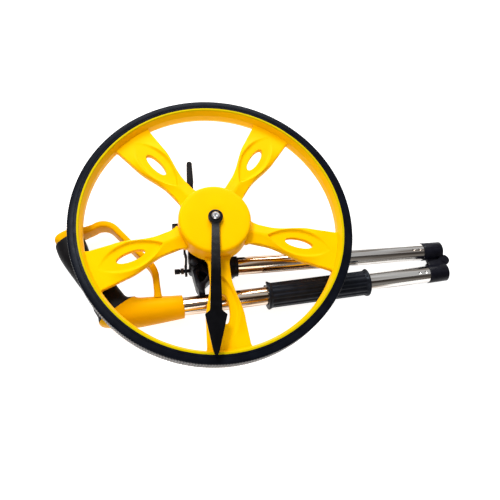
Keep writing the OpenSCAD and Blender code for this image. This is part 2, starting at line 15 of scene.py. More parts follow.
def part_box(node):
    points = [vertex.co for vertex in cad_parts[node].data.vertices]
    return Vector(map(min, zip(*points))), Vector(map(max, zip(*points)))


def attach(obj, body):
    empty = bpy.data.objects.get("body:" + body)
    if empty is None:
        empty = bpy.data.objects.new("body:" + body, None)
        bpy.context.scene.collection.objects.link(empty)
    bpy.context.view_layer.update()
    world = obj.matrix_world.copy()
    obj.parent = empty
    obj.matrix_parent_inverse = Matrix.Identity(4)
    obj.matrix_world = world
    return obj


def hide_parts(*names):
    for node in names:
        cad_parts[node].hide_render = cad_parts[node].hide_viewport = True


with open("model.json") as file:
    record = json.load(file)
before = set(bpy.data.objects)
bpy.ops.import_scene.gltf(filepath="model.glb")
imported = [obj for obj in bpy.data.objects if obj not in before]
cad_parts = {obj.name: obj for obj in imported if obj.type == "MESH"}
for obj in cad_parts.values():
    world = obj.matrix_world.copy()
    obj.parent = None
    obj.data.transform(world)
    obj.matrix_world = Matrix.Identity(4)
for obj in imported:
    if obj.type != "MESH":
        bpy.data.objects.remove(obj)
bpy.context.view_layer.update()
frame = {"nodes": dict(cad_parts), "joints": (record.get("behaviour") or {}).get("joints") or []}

MM = 0.001
WELD = 0.01

# ---------- Sizes and places that come from the frame ----------


def box_mm(node):
    """Lowest and highest corner of a CAD node."""
    return [np.array(corner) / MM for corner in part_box(node)]


def joint(name):
    """What the frame says of a joint."""
    return next(j for j in frame["joints"] if j["name"] == name)


TYRE_LOW, TYRE_HIGH = box_mm("tyre")
WHEEL_LOW, WHEEL_HIGH = box_mm("wheel")
TUBE_LOW, TUBE_HIGH = box_mm("wheel_tube")
WHEEL_R = TYRE_HIGH[0]
FRONT_Z = TYRE_HIGH[2]
TYRE_BACK_Z = TYRE_LOW[2]
RIM_BACK_Z = WHEEL_LOW[2]
HUB_FACE_Z = WHEEL_HIGH[2]
TUBE_Z = (TUBE_HIGH[2] + TUBE_LOW[2]) / 2
TUBE_Y = (TUBE_HIGH[1] + TUBE_LOW[1]) / 2

# Handle frame: u runs from the hinge pin along the handle tube, w across it away from
# the wheel tube, h up from the tube's centre line
PIN = np.array(joint("handle_fold")["pos_m"]) / MM
PIN_TO_TUBE = abs(PIN[1] - TUBE_Y)
ALONG_U = -np.array(joint("sleeve_slide")["axis"])
ALONG_W = np.array([-ALONG_U[1], ALONG_U[0], 0])

# Wheel
TYRE_T = 10.25
SEAT_R = WHEEL_R - TYRE_T
LIP_R = SEAT_R - 2.2
RIM_MID_R = SEAT_R - 5.3
RIM_FLANGE_R = SEAT_R + 3.1
SPOKES = 5
SPOKE_ANGLE = 54.5
SPOKE_Z = FRONT_Z - 16
SPOKE_TOP = SPOKE_Z + 7
HUB_R = 40.5
HUB_BACK_Z = SPOKE_Z - 4.5
HUB_WALL = 3
BUSH_R = 6
BOSS_R = 10
BOSS_BACK_Z = RIM_BACK_Z + 5.5

# ---------- Shells: (points in millimetres, faces) ----------


def smooth(t):
    c = np.clip(t, 0, 1)
    return c * c * (3 - 2 * c)


def joined(shells):
    """Several shells as one."""
    points, faces = [], []
    for p, f in shells:
        start = sum(len(q) for q in points)
        points.append(np.asarray(p, float))
        faces += [[start + i for i in face] for face in f]
    return np.concatenate(points), faces


def turned(shell, degrees):
    """A shell turned about the axle line."""
    a = math.radians(degrees)
    turn = np.array([[math.cos(a), -math.sin(a), 0], [math.sin(a), math.cos(a), 0], [0, 0, 1]])
    return shell[0] @ turn.T, shell[1]


def loft(rings, closed=False):
    """A skin over rings of equal length. It ends in flat caps, or closed joins the last ring to the first."""
    rings = np.asarray(rings, float)
    count, size = rings.shape[:2]
    faces = []
    for i in range(count if closed else count - 1):
        here, after = i * size, (i + 1) % count * size
        for j in range(size):
            k = (j + 1) % size
            faces.append([here + j, here + k, after + k, after + j])
    if not closed:
        faces += [list(range(size - 1, -1, -1)), [(count - 1) * size + j for j in range(size)]]
    return rings.reshape(-1, 3), faces


def arc(centre, r, a0, a1, steps):
    """Points of an arc in a plane, from angle a0 to a1 in degrees."""
    a = np.radians(np.linspace(a0, a1, steps + 1))
    return np.stack([centre[0] + r * np.cos(a), centre[1] + r * np.sin(a)], axis=1)


def rounded(corners, steps=4):
    """A closed outline with each corner (x, y, radius) rounded off."""
    out = []
    for i, (x, y, r) in enumerate(corners):
        here = np.array([x, y], float)
        before = np.array(corners[i - 1][:2], float) - here
        after = np.array(corners[(i + 1) % len(corners)][:2], float) - here
        if r <= 0:
            out.append(here)
            continue
        d0, d1 = before / np.linalg.norm(before), after / np.linalg.norm(after)
        half = math.acos(np.clip(d0 @ d1, -1, 1)) / 2
        reach = min(r / math.tan(half), 0.49 * np.linalg.norm(before), 0.49 * np.linalg.norm(after))
        start, end = here + d0 * reach, here + d1 * reach
        for t in np.linspace(0, 1, steps + 1):
            out.append((1 - t) ** 2 * start + 2 * t * (1 - t) * here + t * t * end)
    return np.array(out)


def lathe(profile, steps):
    """A closed (radius, height) profile turned round the axle line."""
    profile = np.asarray(profile, float)
    rings = []
    for a in np.linspace(0, 2 * math.pi, steps, endpoint=False):
        r, z = profile[:, 0], profile[:, 1]
        rings.append(np.stack([r * math.cos(a), r * math.sin(a), z], axis=1))
    return loft(rings, closed=True)


def spline(keys, between):
    """A smooth curve through rows of numbers, with so many steps between two rows."""
    keys = np.asarray(keys, float)
    padded = np.concatenate([[2 * keys[0] - keys[1]], keys, [2 * keys[-1] - keys[-2]]])
    rows = []
    for i in range(1, len(padded) - 2):
        p0, p1, p2, p3 = padded[i - 1:i + 3]
        for t in np.arange(between) / between:
            rows.append(0.5 * (2 * p1 + (p2 - p0) * t + (2 * p0 - 5 * p1 + 4 * p2 - p3) * t * t
                               + (3 * p1 - p0 - 3 * p2 + p3) * t ** 3))
    return np.array(rows + [keys[-1]])


def in_handle(points):
    """Handle-frame points (u, w, h) placed in the row frame."""
    u, w, h = np.asarray(points, float).T
    return PIN + np.outer(u, ALONG_U) + np.outer(w + PIN_TO_TUBE, ALONG_W) + np.outer(h, [0, 0, 1])


def piece(name, shell, body, look, replaced, sharp=40, edit=None):
    """One object from a shell, in the row frame, riding on a CAD body in place of CAD nodes."""
    mesh = bpy.data.meshes.new(name)
    mesh.from_pydata((shell[0] * MM).tolist(), [], shell[1])
    bm = bmesh.new()
    bm.from_mesh(mesh)
    bmesh.ops.remove_doubles(bm, verts=bm.verts, dist=WELD * MM)
    bmesh.ops.recalc_face_normals(bm, faces=bm.faces)
    if edit:
        edit(bm)
    bm.to_mesh(mesh)
    bm.free()
    mesh.shade_smooth()
    mesh.set_sharp_from_angle(angle=math.radians(sharp))
    obj = bpy.data.objects.new(name, mesh)
    bpy.context.scene.collection.objects.link(obj)
    obj.data.materials.append(look)
    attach(obj, body)
    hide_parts(*replaced)
    return obj


# ---------- Materials ----------


def spread(elements, stops):
    """Sets the stops of a colour ramp: (place, colour or grey value)."""
    while len(elements) < len(stops):
        elements.new(0.5)
    for element, (place, value) in zip(elements, stops):
        element.position = place
        element.color = (*value, 1) if hasattr(value, "__len__") else (value, value, value, 1)


class Look:
    """A procedural material: a Principled shader and the nodes that feed it."""

    def __init__(self, name, **sockets):
        self.material = bpy.data.materials.new(name)
        self.material.use_nodes = True
        self.tree = self.material.node_tree
        self.shader = self.tree.nodes["Principled BSDF"]
        self.coords = self.tree.nodes.new("ShaderNodeTexCoord").outputs["Object"]
        for socket, value in sockets.items():
            self.shader.inputs[socket.replace("_", " ")].default_value = value

    def link(self, source, socket):
        self.tree.links.new(source, socket)

    def add(self, kind, **settings):
        made = self.tree.nodes.new(kind)
        for key, value in settings.items():
            setattr(made, key, value)
        return made

    def stretched(self, scale):
        """Object coordinates, scaled along each axis."""
        mapping = self.add("ShaderNodeMapping")
        mapping.inputs["Scale"].default_value = scale
        self.link(self.coords, mapping.inputs["Vector"])
        return mapping.outputs["Vector"]

    def noise(self, size, detail=3.0, vector=None):
        """Noise with features of about size millimetres."""
        made = self.add("ShaderNodeTexNoise")
        made.inputs["Scale"].default_value = 1 / (size * MM)
        made.inputs["Detail"].default_value = detail
        self.link(vector or self.coords, made.inputs["Vector"])
        return made.outputs["Fac"]

    def ramp(self, factor, stops):
        """Colours or grey values spread along a factor."""
        made = self.add("ShaderNodeValToRGB")
        spread(made.color_ramp.elements, stops)
        self.link(factor, made.inputs["Fac"])
        return made.outputs["Color"]

    def maths(self, operation, *values):
        made = self.add("ShaderNodeMath", operation=operation)
        for socket, value in zip(made.inputs, values):
            if isinstance(value, (int, float)):
                socket.default_value = value
            else:
                self.link(value, socket)
        return made.outputs["Value"]

    def mixed(self, factor, a, b):
        made = self.add("ShaderNodeMix", data_type="RGBA")
        colour_sockets = [made.inputs[0], made.inputs[6], made.inputs[7]]
        for socket, value in zip(colour_sockets, (factor, a, b)):
            if isinstance(value, (int, float)):
                socket.default_value = value
            elif isinstance(value, tuple):
                socket.default_value = (*value, 1)
            else:
                self.link(value, socket)
        return made.outputs[2]

    def place(self, axis):
        """The row-frame coordinate along an axis at rest, in millimetres."""
        split = self.add("ShaderNodeSeparateXYZ")
        self.link(self.coords, split.inputs["Vector"])
        return self.maths("DIVIDE", split.outputs[axis], MM)

    def radius(self):
        """Distance from the axle line, in millimetres."""
        across = [self.place(axis) for axis in "XY"]
        squares = [self.maths("MULTIPLY", value, value) for value in across]
        return self.maths("SQRT", self.maths("ADD", *squares))

    def band(self, value, low, high, soft):
        """1 where a value lies between two limits, with soft edges."""
        made = []
        for start, end in ((low - soft, low), (high + soft, high)):
            step = self.add("ShaderNodeMapRange")
            self.link(value, step.inputs["Value"])
            step.inputs["From Min"].default_value = start
            step.inputs["From Max"].default_value = end
            made.append(step.outputs["Result"])
        return self.maths("MULTIPLY", *made)

    def bump(self, height, depth, strength):
        """Fine relief, depth in millimetres."""
        made = self.add("ShaderNodeBump")
        made.inputs["Strength"].default_value = strength
        made.inputs["Distance"].default_value = depth * MM
        self.link(height, made.inputs["Height"])
        self.link(made.outputs["Normal"], self.shader.inputs["Normal"])

    def colour(self, source):
        self.link(source, self.shader.inputs["Base Color"])

    def roughness(self, source, low, high):
        self.link(self.ramp(source, [(0.3, low), (0.7, high)]), self.shader.inputs["Roughness"])


YELLOW = (0.93, 0.49, 0.0)
YELLOW_DEEP = (0.92, 0.46, 0.0)
# Greenish yellow for the painted reflection along the rim's front lip
LIP_REFLECTION_YELLOW = (0.56, 0.42, 0.0)
# Amber painted shade for the handle, which lies in the wheel's shade
HANDLE_SHADE_AMBER = (0.76, 0.36, 0.0)
# Of the yellow pieces, only the handle lies between these heights, low in the wheel's shade, and there the
# yellow gets amber painted shade
SHADED_HANDLE_Z = (-20, 38)
# The pointer's painted sheen is spread over this radius
POINTER_SPAN = 160
# The stretch along the tubes that the folded wheel covers, where the chrome gets a painted brown reflection
# and shade of the wheel
WHEEL_REFLECTION_X = (-200, 125)


def yellow_plastic():
    """Yellow moulding: a greenish painted reflection on the rim's front lip, and amber painted shade on the
    handle, which lies lowest, in the wheel's shade.
    """
    look = Look("yellow_plastic", Specular_IOR_Level=0.1, Specular_Tint=(1.0, 0.7, 0.0, 1))
    flow = look.noise(35, detail=2)
    base = look.ramp(flow, [(0.35, YELLOW), (0.7, YELLOW_DEEP)])
    # Band along the rim's front lip, where a painted reflection is mixed into the yellow
    lip = look.maths("MULTIPLY", look.band(look.radius(), LIP_R - 0.2, SEAT_R + 3, 0.5),
                     look.band(look.place("Z"), FRONT_Z - 1.2, FRONT_Z + 1, 0.8))
    # The handle's band gets amber painted shade
    handle = look.band(look.place("Z"), *SHADED_HANDLE_Z, 3)
    look.colour(look.mixed(handle, look.mixed(lip, base, LIP_REFLECTION_YELLOW), HANDLE_SHADE_AMBER))
    look.roughness(look.noise(6), 0.34, 0.46)
    look.bump(look.noise(0.8, detail=2), 0.02, 0.5)
    return look.material


def tyre_rubber():
    """Black rubber, grey on the tread with dust and a painted reflection of the floor."""
    look = Look("tyre_rubber", Specular_IOR_Level=0.04, Specular_Tint=(0.8, 0.88, 1.0, 1))
    tread = look.maths("MULTIPLY", look.band(look.radius(), WHEEL_R - 0.3, WHEEL_R + 2, 0.2),
                       look.band(look.place("Z"), TYRE_BACK_Z + 2, FRONT_Z - 2.6, 0.8))
    # Grey tread: dust, and a painted reflection of the floor
    dust_and_floor_reflection = look.ramp(look.noise(5, detail=5), [(0.3, (0.10, 0.095, 0.09)), (0.7, (0.22, 0.20, 0.19))])
    side = look.ramp(look.noise(12, detail=4), [(0.35, (0.003, 0.0035, 0.006)), (0.7, (0.005, 0.006, 0.010))])
    look.colour(look.mixed(tread, side, dust_and_floor_reflection))
    look.roughness(look.noise(9), 0.24, 0.34)
    look.bump(look.noise(0.9, detail=4), 0.012, 0.6)
    return look.material


def black_plastic():
    """Black plastic with a satin face."""
    look = Look("black_plastic", Specular_IOR_Level=0.11)
    look.colour(look.ramp(look.noise(8), [(0.35, (0.003, 0.003, 0.006)), (0.7, (0.007, 0.007, 0.012))]))
    look.roughness(look.noise(5), 0.26, 0.42)
    look.bump(look.noise(0.7, detail=2), 0.01, 0.5)
    return look.material


def shaded_black_plastic():
    """A shaded copy of black plastic for the stand leg: matt, and a little darker in colour, which is painted
    shade.
    """
    look = Look("shaded_black_plastic", Specular_IOR_Level=0.04)
    look.colour(look.ramp(look.noise(8), [(0.35, (0.002, 0.002, 0.003)), (0.7, (0.005, 0.005, 0.006))]))
    look.roughness(look.noise(5), 0.5, 0.62)
    look.bump(look.noise(0.7, detail=2), 0.01, 0.5)
    return look.material


def pointer_plastic():
    """Black plastic with a painted sheen: glossy on the arm near the boss and matt towards the tip."""
    look = Look("pointer_plastic")
    # Painted sheen: more reflective near the boss, fading towards the tip
    painted_sheen = look.ramp(look.maths("DIVIDE", look.radius(), POINTER_SPAN),
                     [(0.055, 0.15), (0.09, 1.0), (0.2, 0.45), (0.4, 0.02)])
    look.link(painted_sheen, look.shader.inputs["Specular IOR Level"])
    look.colour(look.ramp(look.noise(10), [(0.35, (0.0025, 0.0025, 0.003)), (0.7, (0.004, 0.004, 0.005))]))
    look.roughness(look.noise(4), 0.2, 0.3)
    look.bump(look.noise(0.6, detail=2), 0.003, 0.5)
    return look.material


def grip_rubber():
    """Black rubber with a fine pebbled grain."""
    look = Look("grip_rubber", Specular_IOR_Level=0.08)
    look.colour(look.ramp(look.noise(14), [(0.35, (0.004, 0.0035, 0.004)), (0.7, (0.008, 0.007, 0.008))]))
    look.roughness(look.noise(6), 0.45, 0.62)
    grain = look.add("ShaderNodeTexVoronoi", feature="SMOOTH_F1")
    grain.inputs["Scale"].default_value = 1 / (1.1 * MM)
    look.link(look.coords, grain.inputs["Vector"])
    look.bump(grain.outputs["Distance"], 0.05, 0.5)
    return look.material


def sleeve_rubber():
    """Black rubber with a bluish sheen."""
    look = Look("sleeve_rubber", Specular_IOR_Level=0.14, Specular_Tint=(0.72, 0.84, 1.0, 1))
    look.colour(look.ramp(look.noise(12), [(0.35, (0.004, 0.0045, 0.007)), (0.7, (0.010, 0.010, 0.014))]))
    look.roughness(look.noise(7), 0.3, 0.46)
    look.bump(look.noise(1.2, detail=4), 0.04, 0.5)
    return look.material


def chrome():
    """Plated tube with painted reflection streaks, and a painted brown reflection and shade of the wheel
    where the folded wheel covers it.
    """
    look = Look("chrome", Metallic=1.0)
    streaks = look.stretched((0.035, 1, 1))
    # Dark brown streaks in the base colour: painted reflections
    plated_with_painted_streaks = look.ramp(look.noise(4, vector=streaks),
                       [(0.36, (0.34, 0.29, 0.25)), (0.46, (0.72, 0.69, 0.66)), (0.6, (0.84, 0.83, 0.81))])
    # Painted brown reflection and shade of the folded wheel over this stretch
    painted_wheel_reflection = look.ramp(look.noise(3, vector=streaks),
                        [(0.38, (0.16, 0.09, 0.05)), (0.48, (0.55, 0.38, 0.25)), (0.62, (0.8, 0.7, 0.6))])
    look.colour(look.mixed(look.band(look.place("X"), *WHEEL_REFLECTION_X, 25), plated_with_painted_streaks, painted_wheel_reflection))
    look.roughness(look.noise(4, vector=streaks), 0.08, 0.15)
    look.bump(look.noise(4, detail=1, vector=look.stretched((0.06, 1, 1))), 0.07, 0.6)
    return look.material


def steel():
    look = Look("steel", Metallic=1.0)
    look.colour(look.ramp(look.noise(1.5), [(0.3, (0.38, 0.38, 0.39)), (0.7, (0.54, 0.54, 0.55))]))
    look.roughness(look.noise(0.8), 0.2, 0.38)
    look.bump(look.noise(0.4), 0.01, 0.5)
    return look.material


def dark_steel():
    """Steel with a thin dark film."""
    look = Look("dark_steel", Metallic=1.0)
    look.colour(look.ramp(look.noise(1.5), [(0.3, (0.03, 0.03, 0.033)), (0.7, (0.06, 0.06, 0.065))]))
    look.roughness(look.noise(0.8), 0.28, 0.45)
    look.bump(look.noise(0.4), 0.01, 0.5)
    return look.material


def bronze():
    look = Look("bronze", Metallic=1.0)
    look.colour(look.ramp(look.noise(1.0, detail=5), [(0.3, (0.42, 0.25, 0.10)), (0.7, (0.58, 0.38, 0.17))]))
    look.roughness(look.noise(0.6), 0.35, 0.5)
    look.bump(look.noise(0.25), 0.01, 0.6)
    return look.material


def white_plastic():
    look = Look("white_plastic")
    look.colour(look.ramp(look.noise(3), [(0.3, (0.78, 0.77, 0.73)), (0.7, (0.86, 0.85, 0.82))]))
    look.roughness(look.noise(2), 0.34, 0.48)
    look.bump(look.noise(0.5), 0.01, 0.5)
    return look.material


def clear_plastic():
    look = Look("clear_plastic", Transmission_Weight=1.0, IOR=1.49)
    look.colour(look.ramp(look.noise(4), [(0.3, (0.90, 0.94, 0.96)), (0.7, (0.97, 0.98, 0.99))]))
    look.roughness(look.noise(2), 0.03, 0.08)
    return look.material


LOOKS = {
    make.__name__: make() for make in (
        yellow_plastic, tyre_rubber, black_plastic, pointer_plastic, grip_rubber, sleeve_rubber,
        chrome, steel, dark_steel, shaded_black_plastic, bronze, white_plastic, clear_plastic)
}

# ---------- Wheel ----------

# Half the spoke's width at its neck, what it gains towards the rim, and where
NECK_HALF = 11.8
LEAF_GAIN = 9.4
LEAF_START = 62
LEAF_END = 112
FILLET_RUN = 5
# The raised eye, the hole in it, and the relief of the face round it
EYE_MID = 98.75
EYE_HALF = 37.25
EYE_SIDE = 16.4
HOLE_MID = 99
HOLE_HALF = (16.2, 5.5)
ROOF = 3.0
DISH = 0.25
EYE_STEP = 3.2
SPOKE_SKIN = 3.2
RAYS = 144


def spoke_half(r):
    """Half the spoke's width at a radius, with fillets where it meets hub and rim."""
    leaf = NECK_HALF + LEAF_GAIN * smooth((r - LEAF_START) / (LEAF_END - LEAF_START))
    flare = 0.08 * np.maximum(0, r - LEAF_END)
    hub_fillet = 2.6 * np.clip(1 - (r - HUB_R) / FILLET_RUN, 0, 1) ** 2
    rim_fillet = 3.0 * np.clip(1 - (RIM_MID_R - r) / FILLET_RUN, 0, 1) ** 2
    return leaf + flare + hub_fillet + rim_fillet


def eye_half(r):
    """Half the width of the raised eye round the hole: a leaf pointed at both ends."""
    x = np.clip(np.abs(r - EYE_MID) / EYE_HALF, 0, 1)
    return EYE_SIDE * np.where(r < EYE_MID, (1 - x ** 1.7) ** 0.8, (1 - x ** 2.1) ** 0.75)


def spoke_height(r, y):
    """Height of the spoke's face over its flat edge: a roof at the neck that parts round the dished eye."""
    eye, edge, side = eye_half(r), spoke_half(r), np.abs(y)
    crest = (ROOF - 0.7 * smooth((r - 58) / 16)) * (1 - smooth((r - 108) / 26))
    outside = crest * (1 - np.clip((side - eye) / (edge - eye), 0, 1)) ** 1.15
    inside = crest - (crest + DISH) * smooth((eye - side) / EYE_STEP)
    blunt = 0.1 * crest * np.exp(-((side - eye) / 0.8) ** 2)
    return np.where(side > eye, outside, inside) - blunt


def spoke():
    """One spoke along +X: loops from the hole's edge over the face, round the side and back underneath."""
    t = 2 * np.pi * np.arange(RAYS) / RAYS
    c, s = np.cos(t), np.sin(t)
    # The ends reach into the hub's wall and into the rim
    inner, outer = HUB_R - 2, RIM_MID_R + 1.4
    middle, reach = (outer + inner) / 2, (outer - inner) / 2

    def hole(grow):
        return np.stack([HOLE_MID + (HOLE_HALF[0] + grow) * c, (HOLE_HALF[1] + grow) * s], axis=1)

    def eye(grow):
        r = EYE_MID + EYE_HALF * c
        return np.stack([EYE_MID + (EYE_HALF + grow) * c,
                         np.sign(s) * eye_half(r) * (EYE_SIDE + grow) / EYE_SIDE], axis=1)

    def outline(inset):
        r = middle + (reach - inset) * np.clip(1.25 * c, -1, 1)
        return np.stack([r, np.sign(s) * (spoke_half(r) - inset) * np.minimum(1, np.abs(s) / 0.6)], axis=1)

    def on_face(loop, drop=0.0):
        z = SPOKE_TOP + spoke_height(loop[:, 0], loop[:, 1]) - drop
        return np.column_stack([loop, z])

    def flat(loop, z):
        return np.column_stack([loop, np.full(RAYS, z)])

    def between(a, b, shares):
        return [a + (b - a) * share for share in shares]

    face = [hole(0.35), hole(0.9)]
    face += between(hole(0.9), eye(-1.6), [0.25, 0.5, 0.75, 0.9, 1])
    face += [eye(-0.8), eye(0), eye(0.8)]
    face += between(eye(0.8), outline(0.9), [0.15, 0.3, 0.45, 0.6, 0.75, 0.88, 1])
    rings = [on_face(hole(0), 0.6)] + [on_face(loop) for loop in face]
    rings += [on_face(outline(0.3), 0.2), on_face(outline(0), 0.8)]
    rings += [flat(outline(0), SPOKE_Z + 0.6), flat(outline(0.5), SPOKE_Z), flat(outline(1.9), SPOKE_Z),
              flat(outline(2.2), SPOKE_Z + 0.4), flat(outline(2.4), SPOKE_TOP - SPOKE_SKIN)]
    rings += [flat(hole(2.0), SPOKE_TOP - SPOKE_SKIN), flat(hole(1.8), SPOKE_Z + 0.4),
              flat(hole(1.6), SPOKE_Z), flat(hole(0.5), SPOKE_Z), flat(hole(0), SPOKE_Z + 0.5)]
    return loft(rings, closed=True)


def rim():
    profile = rounded([
        (SEAT_R, FRONT_Z, 0.2), (LIP_R, FRONT_Z, 1.0), (RIM_MID_R, SPOKE_TOP + 1, 2.0),
        (RIM_MID_R, SPOKE_Z - 1, 2.0), (LIP_R, RIM_BACK_Z, 1.0), (RIM_FLANGE_R, RIM_BACK_Z, 0.5),
        (RIM_FLANGE_R, TYRE_BACK_Z, 0), (SEAT_R, TYRE_BACK_Z, 0)])
    return lathe(profile, steps=360)


def hub():
    """A drum open at the back, with a boss for the bushes in its middle."""
    shell = rounded([
        (BUSH_R, HUB_FACE_Z, 0.4), (30, HUB_FACE_Z - 0.1, 0), (HUB_R, HUB_FACE_Z - 0.5, 4.5),
        (HUB_R, HUB_BACK_Z, 0.6), (HUB_R - HUB_WALL, HUB_BACK_Z, 0.6),
        (HUB_R - HUB_WALL, HUB_FACE_Z - HUB_WALL, 3), (BOSS_R, HUB_FACE_Z - HUB_WALL, 2),
        (BOSS_R, BOSS_BACK_Z, 0.5), (BUSH_R, BOSS_BACK_Z, 0.3)], steps=6)
    return lathe(shell, steps=160)


def slab(x, y, z):
    """A block between two values along each axis."""
    corners = [(x[0], y[0]), (x[1], y[0]), (x[1], y[1]), (x[0], y[1])]
    return loft([[(a, b, height) for a, b in corners] for height in z])


def hub_rib():
    """A rib inside the hub, from its boss to its wall."""
    return slab((BOSS_R - 1, HUB_R - 1), (-1, 1), (SPOKE_Z + 3, HUB_FACE_Z - 1.5))


def build_wheel():
    angles = [SPOKE_ANGLE + 360 / SPOKES * i for i in range(SPOKES)]
    shells = [rim(), hub()]
    shells += [turned(spoke(), a) for a in angles]
    shells += [turned(hub_rib(), a) for a in angles]
    piece("wheel_moulding", joined(shells), "wheel", LOOKS["yellow_plastic"], ["wheel"])


TREAD_RIBS = 320
TREAD_DEPTH = 0.6
TREAD_SLANT = 3.4
# One rib of the tread: (share of the rib's pitch, 1 in the groove and 0 on the rib)
RIB_SHAPE = ((0.0, 0.0), (0.5, 0.0), (0.62, 1.0), (0.88, 1.0))


def build_tyre():
    """Tyre with slanted tread ribs, a bevelled shoulder and a shallow ring on each side face."""
    half = [(SEAT_R, 0), (SEAT_R + 2.2, 0), (SEAT_R + 2.5, 0.35), (SEAT_R + 3.1, 0.35), (SEAT_R + 3.4, 0),
            (WHEEL_R - 2.0, 0), (WHEEL_R - 1.1, 0.25), (WHEEL_R - 0.5, 0.8)]
    width = FRONT_Z - TYRE_BACK_Z
    tread = [(WHEEL_R - 0.1, 1.6), (WHEEL_R, 2.2), (WHEEL_R, width / 2), (WHEEL_R, width - 2.2),
             (WHEEL_R - 0.1, width - 1.6)]
    profile = np.array([(r, TYRE_BACK_Z + z) for r, z in half + tread]
                       + [(r, FRONT_Z - z) for r, z in reversed(half)])
    ribbed = np.array([0.0] * len(half) + [1.0] * len(tread) + [0.0] * len(half))
    slant = TREAD_SLANT / WHEEL_R * (profile[:, 1] - TYRE_BACK_Z) / width
    rings = []
    for rib in range(TREAD_RIBS):
        for place, groove in RIB_SHAPE:
            a = 2 * math.pi * (rib + place) / TREAD_RIBS + slant
            r = profile[:, 0] - TREAD_DEPTH * groove * ribbed
            rings.append(np.stack([r * np.cos(a), r * np.sin(a), profile[:, 1]], axis=1))
    piece("tyre_ring", loft(rings, closed=True), "wheel", LOOKS["tyre_rubber"],
          ["tyre"], sharp=30)


# ---------- Pointer ----------

POINTER_LOW, POINTER_HIGH = box_mm("pointer")
POINTER_ANGLE = -95.8
BOSS_HOLE = 4.05
POINTER_BOSS_R = 8.2


def build_pointer():
    """A flat arrow with bevelled edges on a round boss that turns about the axle."""
    low, high = POINTER_LOW[2], POINTER_HIGH[2]
    boss = lathe(rounded([(BOSS_HOLE, high, 0.2), (POINTER_BOSS_R, high, 0.9), (POINTER_BOSS_R, low, 0.4),
                          (BOSS_HOLE, low, 0.2)]), steps=72)
    flat = high - 0.2
    # (distance from the axle, half width, bevel)
    stations = [(5, 4.1, 0.8), (104, 6.2, 0.8), (106, 6.9, 0.8), (109.3, 11.2, 0.8), (110.2, 11.5, 0.8),
                (111.5, 11.2, 0.8), (147, 3.3, 0.8), (150.4, 1.9, 0.5), (151.4, 0.9, 0.2)]
    rings = []
    for x, half, bevel in stations:
        top = [(-half, flat - bevel), (-half + bevel, flat), (half - bevel, flat), (half, flat - bevel)]
        foot = [(half, low + 0.3), (half - 0.3, low), (-half + 0.3, low), (-half, low + 0.3)]
        rings.append([(x, y, z) for y, z in top + foot])
    piece("pointer_arrow", turned(joined([boss, loft(rings)]), POINTER_ANGLE), "pointer",
          LOOKS["pointer_plastic"], ["pointer"], sharp=35)


# ---------- Handle ----------


SECTION_POINTS = 56


def section(a, b, half_h, power):
    """A rounded ring through the handle, from point a to point b in (u, w), half_h high each way."""
    a, b = np.array(a, float), np.array(b, float)
    t = 2 * np.pi * np.arange(SECTION_POINTS) / SECTION_POINTS
    along = np.sign(np.cos(t)) * np.abs(np.cos(t)) ** (2 / power)
    up = np.sign(np.sin(t)) * np.abs(np.sin(t)) ** (2 / power)
    flat = (a + b) / 2 + np.outer(along, (b - a) / 2)
    return np.column_stack([flat, half_h * up])


def skinned(keys, between, rings_before=(), rings_after=()):
    """A loft through sections given as rows (a_u, a_w, b_u, b_w, half_h, power)."""
    rows = spline(keys, between)
    rings = [section(row[0:2], row[2:4], row[4], row[5]) for row in rows]
    points, faces = loft([*rings_before, *rings, *rings_after])
    return in_handle(points), faces


# Ends of the grip's middle line, as (u, w)
GRIP_LOW = np.array([403.1, -11.1])
GRIP_TOP = np.array([440.9, -81.9])
GRIP_ALONG = (GRIP_TOP - GRIP_LOW) / np.linalg.norm(GRIP_TOP - GRIP_LOW)
GRIP_ACROSS = np.array([-GRIP_ALONG[1], GRIP_ALONG[0]])
SOCKET_U = 325
HANDLE_HALF = 16.45
# Finger guard: thickness and half height of its band, and the two arcs it runs round
GUARD_BAND = (7.5, 10)
ARCH_MID = (405, -89.8)
ARCH_R = 18
BEND_MID = (381.5, -37.2)
BEND_R = 30
# Half the gap between the two yellow halves
HAIRLINE = 0.12


def on_grip(s, p):
    """A point s along the grip from its low end and p across it, away from the fingers."""
    return GRIP_LOW + s * GRIP_ALONG + p * GRIP_ACROSS


def shoe():
    """The yellow socket and the elbow up to the seam with the rubber."""
    keys = [
        (SOCKET_U + 0.9, -13.2, SOCKET_U + 0.9, 13.2, 13.2, 2.0),
        (339, -14.2, 339, 14.2, 14.1, 2.0),
        (353, -15.2, 353, 15.2, 15.0, 2.02),
        (363, -15.9, 364, 15.9, 15.7, 2.06),
        (370, -16.3, 374, 16.4, 16.2, 2.14),
        (373.4, -16.7, 383.5, 15.9, 16.45, 2.24),
        (374.8, -17.1, 393.5, 14.3, HANDLE_HALF, 2.34),
        (375.3, -17.4, 402.5, 12.9, HANDLE_HALF, 2.42),
        (375.6, -17.6, 410, 11.7, HANDLE_HALF, 2.5),
        (375.8, -17.7, 415.4, 9.9, HANDLE_HALF, 2.5),
        (375.9, -17.8, 418, 7.1, HANDLE_HALF, 2.5),
    ]
    mouth = [section((SOCKET_U, -12.3), (SOCKET_U, 12.3), 12.3, 2.0),
             section((SOCKET_U + 0.25, -12.95), (SOCKET_U + 0.25, 12.95), 12.95, 2.0)]
    end = [section((378, -16.5), (416, 6.0), 15.2, 2.4)]
    return skinned(keys, 5, mouth, end)


